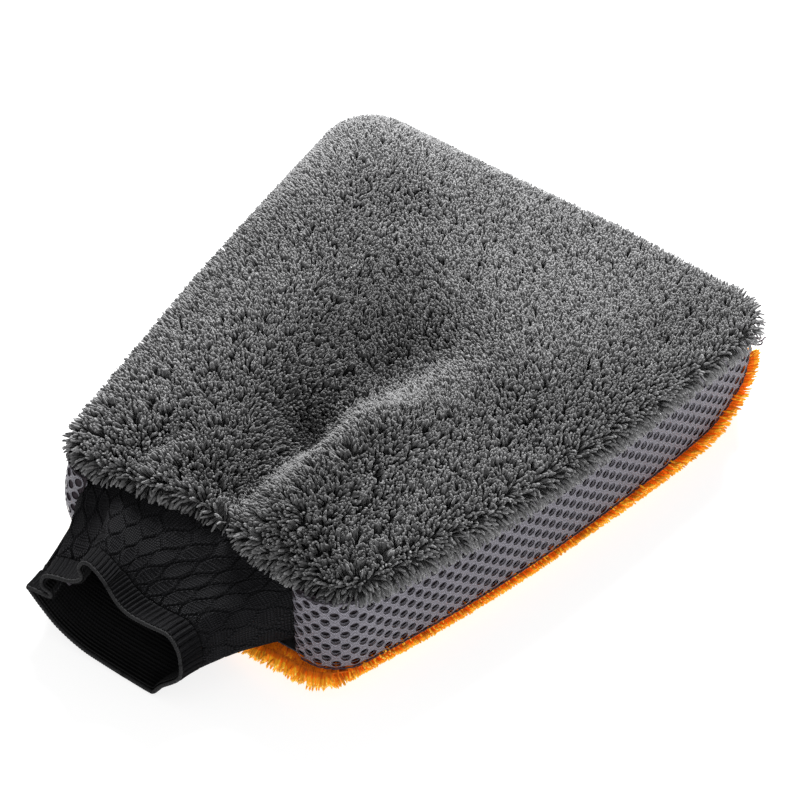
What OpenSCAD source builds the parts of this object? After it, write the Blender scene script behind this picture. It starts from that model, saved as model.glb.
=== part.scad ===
// Wash mitt: a plush bag with a mesh side wall and a knitted wrist cuff.
// X runs across the hand, +Y from the cuff to the finger end and +Z up.
// The origin is under the middle of the whole mitt, on the surface it lies on.

/* [Body] */
// Length of the bag between its wrist seam and its finger end seam
body_len = 227.8; // [200:0.1:250]
// Width of the bag at its finger end
tip_w = 201; // [180:1:220]
// Width of the bag half way along
mid_w = 178; // [160:1:200]
// Width of the bag at its wrist end
wrist_w = 131; // [125:1:150]
// How far the wrist end sits to the left of the finger end
wrist_shift = 3; // [0:0.5:6]
// Corner radius of the seam at the finger end
tip_r = 18; // [10:1:30]
// Corner radius of the seam at the wrist end
wrist_r = 12; // [8:1:16]

/* [Plush panels] */
// Height of the seam between the upper plush and the side wall
upper_seam_z = 42.3; // [36:0.1:50]
// Height of the seam between the lower plush and the side wall
lower_seam_z = 6.5; // [5:0.1:9]
// Height of the pile surface above the upper seam at the rim
upper_rim_h = 2.4; // [1:0.1:5]
// Rise of the upper pile surface from its rim to its middle
crown_h = 14; // [8:0.5:20]
// Thickness of the upper plush, knitted ground and pile together
upper_plush_t = 8.5; // [5:0.5:10]
// Distance that the pile stands out past the seam
plush_rim = 5; // [2:0.5:7]
// How far the lower panel's wrist end reaches out under the cuff
lower_wrist_out = 5; // [0:0.5:8]
// How far the upper panel's wrist end is drawn back by the cuff
upper_wrist_in = 3; // [0:0.5:4]
// Height that the lower panel's finger corner is lifted off the surface
corner_lift = 20; // [0:1:22]

/* [Side wall] */
// Thickness of the spacer mesh
mesh_t = 3; // [2:0.1:4]
// Outward bulge of the side wall half way up
mesh_bulge = 1.6; // [0:0.1:3]

/* [Lining] */
// Thickness of the lining cloth
lining_t = 1; // [0.8:0.1:2]

/* [Cuff] */
// Distance from the wrist seam to the far edge of the cuff
cuff_reach = 43.5; // [35:0.5:55]
// Width of the cuff where it joins the bag
cuff_root_w = 104; // [90:1:108]
// Width of the cuff at its mouth
cuff_mouth_w = 76; // [60:1:90]
// Height of the cuff at its mouth
cuff_mouth_h = 31.5; // [24:0.5:36]
// Thickness of the doubled knit
cuff_t = 1.8; // [1.2:0.1:2.5]
// Length of the ribbed band
rib_len = 11; // [6:0.5:16]
// Thickness of the rolled edge
roll_d = 2.4; // [2:0.1:3]

/* [Hidden] */

// Clearance between neighbouring layers
gap = 0.3;
lining_gap = 0.9;
half_len = body_len / 2;
// The whole mitt, cuff and pile included, is centred on Y
wrist_y = (cuff_reach - body_len - plush_rim) / 2;
mid_y = wrist_y + half_len;
// The sides bow a little to the right, so the wider right side is brought back to the middle
side_bow = 1.5;
mid_x = -0.45;

// Soft folds of the upper panel: [height, x, y, spread along x, spread along y]
UPPER_FOLDS = [
    [6, 31, -30, 20, 72],
    [-10, 4, -45, 14, 55],
    [-5, -12, 42, 26, 45],
    [4, -52, 0, 30, 75]
];
// The lifted finger corner: place and reach of the lift
LIFT_AT = [98, 127];
lift_reach = 36;

// ---- the seam outline ------------------------------------------------------
// The outline is a rounded square in u, v (each -1 to 1), mapped onto the tapered bag.

function half_w(v) = mid_w / 2 + (tip_w - wrist_w) / 4 * v
    + ((tip_w + wrist_w) / 4 - mid_w / 2) * v * v;

function centre_x(v) = mid_x + side_bow * (1 - v * v) - wrist_shift * pow(min(v, 0), 2);

// A place on the bag: u, v times ring, pushed out past the seam by off, and past the
// wrist seam by wrist_out more
function place(p, ring, off, wrist_out = 0) = [
    centre_x(ring * p[1]) + ring * p[0] * (half_w(ring * p[1]) + off),
    mid_y + ring * p[1] * (half_len + off) - wrist_out * pow(min(ring * p[1], 0), 8)
];

function corner(su, sv, r, half, from, to, steps) = [
    for (i = [0 : steps - 1])
        let (a = from + (to - from) * i / steps)
        [su * (1 - r / half) + r / half * cos(a), sv * (1 - r / half_len) + r / half_len * sin(a)]
];

function edge(a, b, steps) = [for (i = [0 : steps - 1]) a + (b - a) * i / steps];

tip_half = tip_w / 2;
wrist_half = wrist_w / 2;
tip_u = 1 - tip_r / tip_half;
wrist_u = 1 - wrist_r / wrist_half;
tip_v = 1 - tip_r / half_len;
wrist_v = 1 - wrist_r / half_len;

RIGHT_SIDE = edge([1, -wrist_v], [1, tip_v], 12);
TIP_RIGHT = corner(1, 1, tip_r, tip_half, 0, 90, 5);
TIP_EDGE = edge([tip_u, 1], [-tip_u, 1], 8);
TIP_LEFT = corner(-1, 1, tip_r, tip_half, 90, 180, 5);
LEFT_SIDE = edge([-1, tip_v], [-1, -wrist_v], 12);
WRIST_LEFT = corner(-1, -1, wrist_r, wrist_half, 180, 270, 5);
WRIST_EDGE = edge([-wrist_u, -1], [wrist_u, -1], 8);
WRIST_RIGHT = corner(1, -1, wrist_r, wrist_half, 270, 360, 5);
OUTLINE = concat(RIGHT_SIDE, TIP_RIGHT, TIP_EDGE, TIP_LEFT, LEFT_SIDE, WRIST_LEFT,
    WRIST_EDGE, WRIST_RIGHT);
// The side wall runs round the bag and stops on each side of the cuff
wall_end_x = 42.5;
wall_end_u = (wall_end_x - mid_x + wrist_shift) / wrist_half;
WALL_LINE = concat([[wall_end_u, -1]], WRIST_RIGHT, RIGHT_SIDE, TIP_RIGHT, TIP_EDGE, TIP_LEFT, LEFT_SIDE,
    [for (i = [0 : 3]) WRIST_LEFT[i]]);

// ---- heights ---------------------------------------------------------------

function bell(p, f) = f[0] * exp(-pow((p[0] - f[1]) / f[3], 2) - pow((p[1] - f[2]) / f[4], 2));

function folds(p) = bell(p, UPPER_FOLDS[0]) + bell(p, UPPER_FOLDS[1])
    + bell(p, UPPER_FOLDS[2]) + bell(p, UPPER_FOLDS[3]);

function lift(p) = corner_lift
    * pow(max(0, 1 - norm([p[0] - LIFT_AT[0], p[1] - LIFT_AT[1]]) / lift_reach), 2);

function dome(ring) = sqrt(max(0, 1 - pow(ring, 10)));

function upper_z(p, ring, rim_z, rise) = rim_z + rise * dome(ring)
    + folds(p) * (1 - pow(ring, 6));

// ---- solids from sections --------------------------------------------------

function mean(pts) = [for (k = [0 : 2]) [for (p = pts) 1] * [for (p = pts) p[k]] / len(pts)];

// Joins closed sections of equal length into one solid: an open loft has an end at each end,
// and a ring comes back to its first section
module loft(sections, ring = false) {
    rows = len(sections);
    cols = len(sections[0]);
    last = ring ? rows - 1 : rows - 2;
    body = [for (s = sections) each s];
    walls = [
        for (i = [0 : last], j = [0 : cols - 1])
            let (
                a = i * cols + j,
                b = i * cols + (j + 1) % cols,
                c = (i + 1) % rows * cols + (j + 1) % cols,
                d = (i + 1) % rows * cols + j
            )
            each [[a, b, c], [a, c, d]]
    ];
    start_fan = [for (j = [0 : cols - 1]) [rows * cols, (j + 1) % cols, j]];
    end_row = (rows - 1) * cols;
    end_fan = [for (j = [0 : cols - 1]) [rows * cols + 1, end_row + j, end_row + (j + 1) % cols]];
    polyhedron(
        points = ring ? body : concat(body, [mean(sections[0]), mean(sections[rows - 1])]),
        faces = ring ? walls : concat(walls, start_fan, end_fan),
        convexity = 6
    );
}

RINGS = [0.06, 0.2, 0.35, 0.5, 0.64, 0.76, 0.86, 0.93, 0.975, 0.995];

function upper_ring(ring, off, rim_z, rise) = [
    for (q = OUTLINE)
        let (p = place(q, ring, off, -upper_wrist_in))
        [p[0], p[1], upper_z(p, ring, rim_z, rise)]
];

function upper_layer(top_off, top_z, top_rise, under_off, under_z, under_rise) = concat(
    [for (ring = RINGS) upper_ring(ring, top_off, top_z, top_rise)],
    [upper_ring(1, top_off, top_z, 0)],
    [upper_ring(1, under_off, under_z, 0)],
    [for (i = [len(RINGS) - 1 : -1 : 0]) upper_ring(RINGS[i], under_off, under_z, under_rise)]
);

function lower_ring(ring, off, z) = [
    for (q = OUTLINE)
        let (p = place(q, ring, off, off < 0 ? 0 : lower_wrist_out))
        [p[0], p[1], z + lift(p)]
];

LOWER_RINGS = [0.06, 0.3, 0.48, 0.6, 0.7, 0.8, 0.88, 0.95];

// A sheet between two heights, with its rim drawn out to a rounded edge
function lower_layer(off, z_low, z_high, edge_out) = concat(
    [for (ring = LOWER_RINGS) lower_ring(ring, off, z_high)],
    [lower_ring(1, off, z_high)],
    edge_out > 0 ? [lower_ring(1, off + edge_out, (z_low + z_high) / 2)] : [],
    [lower_ring(1, off, z_low)],
    [for (i = [len(LOWER_RINGS) - 1 : -1 : 0]) lower_ring(LOWER_RINGS[i], off, z_low)]
);

// A thin round thread along a list of points
function thread_section(path, i, r, closed) =
    let (
        n = len(path),
        before = closed ? path[(i + n - 1) % n] : path[max(i - 1, 0)],
        after = closed ? path[(i + 1) % n] : path[min(i + 1, n - 1)],
        along = (after - before) / norm(after - before),
        side = cross(along, abs(along[2]) < 0.9 ? [0, 0, 1] : [1, 0, 0]),
        across = side / norm(side),
        up = cross(across, along)
    )
    [for (k = [0 : 5]) path[i] + r * (cos(60 * k) * across + sin(60 * k) * up)];

module thread(path, r, closed = false) {
    loft([for (i = [0 : len(path) - 1]) thread_section(path, i, r, closed)], closed);
}

// ---- the cuff --------------------------------------------------------------

cuff_root_y = wrist_y + mesh_t + gap;
cuff_root_x = -11;
cuff_root_top = upper_seam_z - gap - 0.3;
cuff_root_foot = lower_seam_z + gap + 0.3;
cuff_mouth_x = -14.7;
cuff_mouth_foot = 1.6;
// Share of the cuff's length that lies on the lower panel before it drops to the surface
on_panel = 0.3;
cuff_mouth_y = wrist_y - cuff_reach + roll_d / 2;
// The mouth leans: its upper edge is this much nearer the bag for each mm of height
mouth_lean = 0.18;
cuff_len = cuff_root_y - cuff_mouth_y;
// Squareness of the cuff's cross section
cuff_square = 2.6;
CUFF_STEPS = 44;

function squared(c, e) = sign(c) * pow(abs(c), 2 / e);

function eased(t) = t * t * (3 - 2 * t);

// A loop round the cuff, at a share s of the way from the bag to the mouth, drawn in by inset
function cuff_loop(s, inset) = [
    for (i = [0 : CUFF_STEPS - 1])
        let (
            a = 360 * i / CUFF_STEPS,
            flare = pow(1 - s, 1.6),
            drop = eased(max(0, s - on_panel) / (1 - on_panel)),
            w = (cuff_mouth_w + (cuff_root_w - cuff_mouth_w) * flare) / 2 - inset,
            top = cuff_mouth_foot + cuff_mouth_h
                + (cuff_root_top - cuff_mouth_foot - cuff_mouth_h) * flare - inset,
            foot = cuff_root_foot + (cuff_mouth_foot - cuff_root_foot) * drop + inset,
            x = cuff_mouth_x + (cuff_root_x - cuff_mouth_x) * flare + w * squared(cos(a), cuff_square),
            z = (top + foot) / 2 + (top - foot) / 2 * squared(sin(a), cuff_square)
        )
        [x, cuff_root_y - s * cuff_len + s * mouth_lean * (z - cuff_mouth_foot), z]
];

function cuff_wall(from, to, steps, inset, t) = concat(
    [for (i = [0 : steps]) cuff_loop(from + (to - from) * i / steps, inset)],
    [for (i = [steps : -1 : 0]) cuff_loop(from + (to - from) * i / steps, inset + t)]
);

rib_share = 1 - rib_len / cuff_len;
link_gap = gap / cuff_len;

// ---- the pieces ------------------------------------------------------------

// Dark grey plush: a domed, folded sheet with its pile outward
module upper_plush_panel() {
    color([0.27, 0.27, 0.28])
        loft(upper_layer(plush_rim, upper_seam_z + upper_rim_h, crown_h,
            -mesh_t - 0.6, upper_seam_z, upper_rim_h + crown_h - upper_plush_t));
}

// Orange plush: a flat sheet, its pile pressed flat where the mitt lies on it
module lower_plush_panel() {
    color([0.95, 0.45, 0.05])
        loft(lower_layer(0, 0, lower_seam_z, plush_rim - 1));
}

// Grey spacer mesh standing between the two plush panels
module side_gusset() {
    color([0.45, 0.44, 0.5])
        loft([
            for (q = WALL_LINE)
                let (
                    foot = lower_seam_z + gap + lift(place(q, 1, 0)),
                    top = upper_seam_z - gap
                )
                concat(
                    [for (k = [0 : 4])
                        let (p = place(q, 1, mesh_bulge * sin(45 * k)))
                        [p[0], p[1], foot + (top - foot) * k / 4]],
                    [for (k = [4 : -1 : 0])
                        let (p = place(q, 1, mesh_bulge * sin(45 * k) - mesh_t))
                        [p[0], p[1], foot + (top - foot) * k / 4]]
                )
        ]);
}

lining_rise = upper_rim_h + crown_h - upper_plush_t;

// Lining cloth under the upper plush
module upper_lining() {
    color([0.2, 0.2, 0.22])
        loft(upper_layer(-mesh_t - 1, upper_seam_z - lining_gap, lining_rise,
            -mesh_t - 1, upper_seam_z - lining_gap - lining_t, lining_rise));
}

// Lining cloth on the lower plush
module lower_lining() {
    color([0.2, 0.2, 0.22])
        loft(lower_layer(-mesh_t - 1, lower_seam_z + lining_gap + 0.5,
            lower_seam_z + lining_gap + 0.5 + lining_t, 0));
}

// Knitted cuff from the wrist seam to the ribbed band
module cuff_tube() {
    color([0.06, 0.06, 0.07])
        loft(cuff_wall(0, rib_share - link_gap, 7, 0, cuff_t), true);
}

// Ribbed band, linked to the end of the knitted cuff
module cuff_rib_band() {
    color([0.05, 0.05, 0.06])
        loft(cuff_wall(rib_share, 1 - link_gap * 4, 3, 0, cuff_t), true);
}

// Rolled edge round the mouth of the cuff
module cuff_rolled_edge() {
    color([0.1, 0.1, 0.11])
        thread([for (p = cuff_loop(1, cuff_t / 2)) p - [0, 0.4, 0]], roll_d / 2, true);
}

// Elastic yarns laid round the inside of the ribbed band
module cuff_elastic_yarns() {
    color([0.12, 0.12, 0.13])
        for (i = [1 : 4])
            thread(cuff_loop(rib_share + (1 - rib_share) * i / 5.5, cuff_t + gap + 0.4), 0.4, true);
}

// Thread of the seam between the upper plush and the side wall
module upper_seam_thread() {
    color([0.12, 0.12, 0.14])
        thread([for (q = WALL_LINE) let (p = place(q, 1, 1)) [p[0], p[1], upper_seam_z - 1]], 0.5);
}

// Thread of the seam between the lower plush and the side wall
module lower_seam_thread() {
    color([0.14, 0.12, 0.16])
        thread([
            for (q = WALL_LINE)
                let (p = place(q, 1, 1))
                [p[0], p[1], lower_seam_z + 1.2 + lift(p)]
        ], 0.5);
}

// Thread of the seam that joins the cuff to the bag, round the inside of the cuff
module cuff_seam_thread() {
    color([0.08, 0.08, 0.09])
        thread(cuff_loop(0.03, cuff_t + gap + 0.6), 0.6, true);
}

// Overlocked seam that closes the cuff into a tube, with its cut thread tail
module cuff_closing_seam() {
    place_on_loop = 16;
    color([0.05, 0.05, 0.06])
        thread(concat(
            [for (s = [0.1 : 0.1 : 0.95]) cuff_loop(s, cuff_t + 2.4)[place_on_loop]],
            [cuff_loop(1, cuff_t + 3)[place_on_loop] + [0, -1, -1]]
        ), 0.9);
}

upper_plush_panel();
lower_plush_panel();
side_gusset();
upper_lining();
lower_lining();
cuff_tube();
cuff_rib_band();
cuff_rolled_edge();
cuff_elastic_yarns();
upper_seam_thread();
lower_seam_thread();
cuff_seam_thread();
cuff_closing_seam();
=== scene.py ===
# %% [markdown]
# # A plush wash mitt, piece by piece
#
# The mitt is a flat bag of cloth with a knitted cuff. A grey plush panel lies on top, an
# orange one underneath, and a strip of spacer mesh stands between them as a side wall.
# Nearly all of its look comes from real geometry: thousands of small pile locks, a net of
# knitted bars with open holes, and a cuff whose pattern stands up from the surface.
#
# The CAD frame gives the place and the size of every piece, and this script dresses it.

import math

import bmesh
import bpy
import numpy as np
from mathutils import Matrix, Vector
from mathutils.kdtree import KDTree


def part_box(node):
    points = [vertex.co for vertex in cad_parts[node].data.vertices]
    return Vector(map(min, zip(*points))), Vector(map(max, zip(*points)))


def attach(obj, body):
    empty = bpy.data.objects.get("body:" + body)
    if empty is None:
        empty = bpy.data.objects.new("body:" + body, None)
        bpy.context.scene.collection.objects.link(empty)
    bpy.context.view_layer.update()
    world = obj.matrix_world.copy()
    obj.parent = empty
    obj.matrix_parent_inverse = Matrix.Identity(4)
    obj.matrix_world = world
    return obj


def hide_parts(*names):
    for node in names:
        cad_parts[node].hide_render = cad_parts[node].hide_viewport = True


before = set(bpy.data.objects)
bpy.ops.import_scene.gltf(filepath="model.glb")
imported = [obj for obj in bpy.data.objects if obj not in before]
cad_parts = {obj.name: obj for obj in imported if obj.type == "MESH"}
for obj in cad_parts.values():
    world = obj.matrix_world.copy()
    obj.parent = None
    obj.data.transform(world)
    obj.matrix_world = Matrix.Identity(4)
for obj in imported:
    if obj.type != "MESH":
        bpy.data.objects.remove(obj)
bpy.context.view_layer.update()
MM = 0.001

# %% [markdown]
# ## Camera
#
# A long lens keeps the mitt's edges nearly parallel, as a product shot does. The camera
# stands back from the cuff's corner and looks down at the upper panel. Its place is worked
# out from one target point, two angles and a distance, so that each can be tuned alone.

# %% Camera
CAMERA_TARGET = Vector((3.33, 25.07, 20.0)) * MM
CAMERA_TURN = math.radians(38.22)
CAMERA_RISE = math.radians(42.59)
CAMERA_ROLL = math.radians(-1.4)
CAMERA_DISTANCE = 1472.1 * MM
CAMERA_LENS = 169.05
CAMERA_SHIFT = (-0.0058, 0.0126)

back = Vector((math.sin(CAMERA_TURN) * math.cos(CAMERA_RISE),
               -math.cos(CAMERA_TURN) * math.cos(CAMERA_RISE), math.sin(CAMERA_RISE)))
right = Vector((math.cos(CAMERA_TURN), math.sin(CAMERA_TURN), 0))
up = back.cross(right)
rolled_right = right * math.cos(CAMERA_ROLL) + up * math.sin(CAMERA_ROLL)
rolled_up = up * math.cos(CAMERA_ROLL) - right * math.sin(CAMERA_ROLL)
camera_data = bpy.data.cameras.new("camera")
camera_data.lens = CAMERA_LENS
camera_data.sensor_width = 36
camera_data.shift_x, camera_data.shift_y = CAMERA_SHIFT
camera_data.clip_end = 20
camera = bpy.data.objects.new("camera", camera_data)
camera.matrix_world = Matrix.Translation(CAMERA_TARGET + back * CAMERA_DISTANCE) @ Matrix(
    (rolled_right, rolled_up, back)).transposed().to_4x4()
bpy.context.scene.collection.objects.link(camera)
bpy.context.scene.camera = camera
print("camera is", round(camera.location.length, 2), "m from the origin")

# %% [markdown]
# ## The bag's outline
#
# Every cloth piece of the bag follows one seam line: a tapered, round-cornered trapezium.
# It is easiest to think of it as a square sheet, u and v from -1 to 1, that is first given
# round corners and then pulled to the bag's width at each height. One pair of functions
# then serves the panels, the lining, the side wall and the seams.

# %% Outline functions, in millimetres
wall_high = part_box("side_gusset")[1]
WALL_BULGE = 1.6
TIP_SEAM_Y = wall_high[1] / MM - WALL_BULGE
BAG_LENGTH = 227.8
HALF_LENGTH = BAG_LENGTH / 2
MID_Y = TIP_SEAM_Y - HALF_LENGTH
WRIST_SEAM_Y = TIP_SEAM_Y - BAG_LENGTH
TIP_WIDTH, MID_WIDTH, WRIST_WIDTH = 201.0, 178.0, 131.0
WRIST_SHIFT, SIDE_BOW, MIDDLE_X = 3.0, 1.5, -0.45
TIP_RADIUS, WRIST_RADIUS = 18.0, 12.0
UPPER_SEAM_Z, LOWER_SEAM_Z = 42.3, 6.5
LIFTED_CORNER, LIFT_HEIGHT, LIFT_REACH = (98, 127), 20, 36


def ramp(value, start, end):
    """0 up to start, 1 past end, and straight between them."""
    return np.clip((value - start) / (end - start), 0, 1)


def half_width(v):
    flare = (TIP_WIDTH - WRIST_WIDTH) / 4
    bow = (TIP_WIDTH + WRIST_WIDTH) / 4 - MID_WIDTH / 2
    return MID_WIDTH / 2 + flare * v + bow * v * v


def centre_line(v):
    return MIDDLE_X + SIDE_BOW * (1 - v * v) - WRIST_SHIFT * np.minimum(v, 0) ** 2


def on_bag(u, v, out=0.0, wrist_out=0.0):
    """x and y of a place on the bag, pushed out past the seam line."""
    x = centre_line(v) + u * (half_width(v) + out)
    y = MID_Y + v * (HALF_LENGTH + out) - wrist_out * np.minimum(v, 0) ** 8
    return x, y


def round_corners(u, v):
    """Turns the rings of a square sheet into rings with the bag's round corners."""
    ring = np.maximum(np.maximum(np.abs(u), np.abs(v)), 1e-9)
    edge_u, edge_v = np.abs(u) / ring, np.abs(v) / ring
    radius = np.where(v > 0, TIP_RADIUS, WRIST_RADIUS)
    corner_u = radius / np.where(v > 0, TIP_WIDTH / 2, WRIST_WIDTH / 2)
    corner_v = radius / HALF_LENGTH
    up_side = np.clip((edge_v - 1 + corner_v) / corner_v, 0, 1) / 2
    along_end = 1 - np.clip((edge_u - 1 + corner_u) / corner_u, 0, 1) / 2
    share = np.where(edge_u >= edge_v, up_side, along_end)
    angle = share * math.pi / 2
    in_corner = (share > 0) & (share < 1)
    new_u = np.where(in_corner, 1 - corner_u + corner_u * np.cos(angle), edge_u)
    new_v = np.where(in_corner, 1 - corner_v + corner_v * np.sin(angle), edge_v)
    return np.sign(u) * new_u * ring, np.sign(v) * new_v * ring, ring


def crowded_rings(u, v):
    """Rounds the sheet's corners and crowds its rings towards the rim, where the cloth rolls."""
    u, v, ring = round_corners(u, v)
    crowded = np.sin(np.minimum(ring, 1) * math.pi / 2)
    return u / ring * crowded, v / ring * crowded, crowded


def bell(x, y, height, at_x, at_y, wide, long):
    """A soft oval bump, or a hollow where height is negative."""
    return height * np.exp(-((x - at_x) / wide) ** 2 - ((y - at_y) / long) ** 2)


def corner_lift(x, y):
    """The finger corner of the lower panel that is lifted off the surface."""
    away = np.hypot(x - LIFTED_CORNER[0], y - LIFTED_CORNER[1]) / LIFT_REACH
    return LIFT_HEIGHT * np.clip(1 - away, 0, None) ** 2


print("seam line from y", round(WRIST_SEAM_Y, 1), "to", round(TIP_SEAM_Y, 1))

# %% [markdown]
# ## Helpers for finished pieces
#
# Shapes are worked out in millimetres, because cloth is measured in them, and are scaled to
# metres once, when a piece is finished. A finished piece sits at the origin with its place
# in its mesh, rides on the mitt's one body and hides the CAD solid that it stands for.


# %% Helpers
def finish_piece(mesh, name, materials, stands_for=(), smooth=True):
    piece = bpy.data.objects.new(name, mesh)
    mesh.name = name
    for material in materials:
        mesh.materials.append(material)
    if smooth:
        mesh.polygons.foreach_set("use_smooth", np.ones(len(mesh.polygons), bool))
    bpy.context.scene.collection.objects.link(piece)
    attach(piece, "root")
    if stands_for:
        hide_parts(*stands_for)
    print(name, "has", sum(len(p.vertices) - 2 for p in mesh.polygons), "triangles")
    return piece


def mesh_in_metres(bm):
    bmesh.ops.scale(bm, vec=(MM, MM, MM), verts=bm.verts)
    mesh = bpy.data.meshes.new("piece")
    bm.to_mesh(mesh)
    bm.free()
    return mesh


def give_thickness(piece, depth):
    """Cloth is thin but no bare surface: a modifier gives it its real depth, in mm."""
    cloth = piece.modifiers.new("cloth", "SOLIDIFY")
    cloth.thickness = depth * MM


def coordinates(verts):
    return np.array([v.co[:] for v in verts])


def move_to(verts, x, y, z):
    for vert, place in zip(verts, np.stack(np.broadcast_arrays(x, y, z), -1)):
        vert.co = place


def sheet_grid(columns, rows):
    """A flat square sheet from -1 to 1, ready to be bent into shape."""
    bm = bmesh.new()
    bm.loops.layers.uv.new("knit")
    bmesh.ops.create_grid(bm, x_segments=columns, y_segments=rows, size=1.0, calc_uvs=True)
    return bm


def tube_grid(columns, rows, place):
    """A sheet rolled into a closed tube: place(around, along) gives x, y, z, 0 to 1 each."""
    bm = sheet_grid(columns, rows)
    flat = (coordinates(bm.verts)[:, :2] + 1) / 2
    move_to(bm.verts, *place(flat[:, 0], flat[:, 1]))
    bmesh.ops.remove_doubles(bm, verts=bm.verts, dist=1e-4)
    bmesh.ops.recalc_face_normals(bm, faces=bm.faces)
    return bm


def copies_mesh(places, faces):
    """One mesh from thousands of copies of a modelled shape: every copy's corners, in mm."""
    count, each = places.shape[:2]
    sizes = np.tile([len(f) for f in faces], count)
    loops = (np.concatenate([np.array(f) for f in faces])[None] + np.arange(count)[:, None] * each)
    mesh = bpy.data.meshes.new("copies")
    mesh.vertices.add(count * each)
    mesh.vertices.foreach_set("co", (places * MM).ravel())
    mesh.loops.add(loops.size)
    mesh.loops.foreach_set("vertex_index", loops.ravel())
    mesh.polygons.add(len(sizes))
    mesh.polygons.foreach_set("loop_start", np.concatenate([[0], np.cumsum(sizes)[:-1]]))
    mesh.polygons.foreach_set("loop_total", sizes)
    mesh.update(calc_edges=True)
    return mesh


print("pieces are scaled by", MM, "when they are finished")

# %% [markdown]
# ## Pile material
#
# Plush is a knitted ground with soft locks standing on it. Light hardly reaches the roots,
# so a lock's colour runs from nearly black at its root, which is painted shade, to its dyed
# colour at its tip, and no two locks take the dye alike. Each lock is therefore painted in
# three zones, in one of four tones, with a soft sheen from the fibre ends. On the grey pile
# the tones also carry painted shade and light, and the orange locks have a painted glow.


# %% Pile materials
def principled(name, colour, roughness, **settings):
    material = bpy.data.materials.new(name)
    material.use_nodes = True
    shader = material.node_tree.nodes["Principled BSDF"]
    shader.inputs["Base Color"].default_value = (*colour, 1)
    shader.inputs["Roughness"].default_value = roughness
    for socket, value in settings.items():
        shader.inputs[socket.replace("_", " ")].default_value = value
    return material


def pile_materials(name, zones, tones, sheen, painted_glow=0.0):
    """The last argument is a painted glow: the locks give off light that stands for the light coming
    through the fibres from the far side.
    """
    made = []
    for zone, colour in zones.items():
        for number, tone in enumerate(tones):
            shade = [min(1.0, c * tone) for c in colour]
            made.append(principled(f"{name}_{zone}_{number}", shade, 0.75, Sheen_Weight=sheen,
                                   Sheen_Roughness=0.45, Specular_IOR_Level=0.25,
                                   Emission_Color=(*shade, 1), Emission_Strength=painted_glow))
    return made


# The grey tones spread wide because they carry painted shade and light as well as uneven dye.
TONES = (0.5, 0.8, 1.12, 1.42)
ORANGE_TONES = (0.7, 0.88, 1.06, 1.24)
# The root colours are painted shade, for the light that hardly reaches down between the locks.
grey_pile = pile_materials("grey_pile", {
    "root": (0.04, 0.04, 0.041), "shank": (0.15, 0.15, 0.152), "tip": (0.19, 0.19, 0.192)},
    TONES, 0.3)
# The orange locks give off a faint painted glow.
orange_pile = pile_materials("orange_pile", {
    "root": (0.95, 0.2, 0.005), "shank": (1.0, 0.37, 0.016), "tip": (1.0, 0.54, 0.09)},
    ORANGE_TONES, 0.03, 0.18)
print(len(grey_pile) + len(orange_pile), "pile materials")

# %% [markdown]
# ## Cloth materials
#
# The other cloths are patterned by nodes. A small helper chains the nodes, so that each
# material reads as a recipe: a pattern that follows the cloth gives a height, the height
# shades the colour, and the same height stands up as a bump. A soft cloud of noise stands
# for uneven dye.

# %% Cloths patterned by nodes
CLOUD_SHARE, CLOUD_SIZE, CLOUD_SIZE_UV = 0.4, 40, 9


def chain(tree, kind, inputs=(), **settings):
    """Adds one node, sets its settings and links or sets its inputs in order."""
    node = tree.nodes.new(kind)
    for key, value in settings.items():
        setattr(node, key, value)
    for number, value in enumerate(inputs):
        if isinstance(value, bpy.types.NodeSocket):
            tree.links.new(value, node.inputs[number])
        elif value is not None:
            node.inputs[number].default_value = value
    return node.outputs[0]


def maths(tree, operation, *inputs):
    return chain(tree, "ShaderNodeMath", inputs, operation=operation)


def patterned_cloth(name, source, pattern, dark, light, roughness, bump, shine=0.3):
    """source gives the place on the cloth, and pattern turns its x, y and z into a height, 0 to 1."""
    material = bpy.data.materials.new(name)
    material.use_nodes = True
    tree = material.node_tree
    shader = tree.nodes["Principled BSDF"]
    if source == "uv":
        place = chain(tree, "ShaderNodeUVMap", uv_map="knit")
    elif source == "object":
        coordinate = tree.nodes.new("ShaderNodeTexCoord")
        place = coordinate.outputs["Object"]
    else:
        attribute = tree.nodes.new("ShaderNodeAttribute")
        attribute.attribute_name = source
        place = attribute.outputs["Vector"]
    split = tree.nodes.new("ShaderNodeSeparateXYZ")
    tree.links.new(place, split.inputs[0])
    height = pattern(tree, *split.outputs)
    cloud_size = CLOUD_SIZE_UV if source == "uv" else CLOUD_SIZE
    cloud = chain(tree, "ShaderNodeTexNoise", (place, None, cloud_size, 3.0))
    shade = maths(tree, "ADD", maths(tree, "MULTIPLY", height, 0.75),
                  maths(tree, "MULTIPLY", cloud, CLOUD_SHARE))
    dye = tree.nodes.new("ShaderNodeValToRGB")
    for stop, position, colour in zip(dye.color_ramp.elements, (0.15, 0.95), (dark, light)):
        stop.position = position
        stop.color = (*colour, 1)
    tree.links.new(shade, dye.inputs[0])
    tree.links.new(dye.outputs[0], shader.inputs["Base Color"])
    relief = tree.nodes.new("ShaderNodeBump")
    relief.inputs["Distance"].default_value = bump
    relief.inputs["Strength"].default_value = 1.0
    tree.links.new(height, relief.inputs["Height"])
    tree.links.new(relief.outputs[0], shader.inputs["Normal"])
    shader.inputs["Roughness"].default_value = roughness
    shader.inputs["Specular IOR Level"].default_value = shine
    return material


print("uneven dye changes a cloth's shade by up to", CLOUD_SHARE)

# %% [markdown]
# ## Patterns
#
# A knit, a weave and a net differ only in how their threads run. All three are made of one
# thing, a row of round ridges: stitches slant one row by another, and filaments cross two
# rows. On the net the filaments also gather in a loop round each hole.

# %% Patterns of threads
LOOP_AT, LOOP_NARROW = 0.72, 4.5


def wave(tree, value, step):
    """A row of round ridges, one for each step."""
    return maths(tree, "ABSOLUTE", maths(tree, "SINE", maths(tree, "MULTIPLY", value, math.pi / step)))


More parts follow.
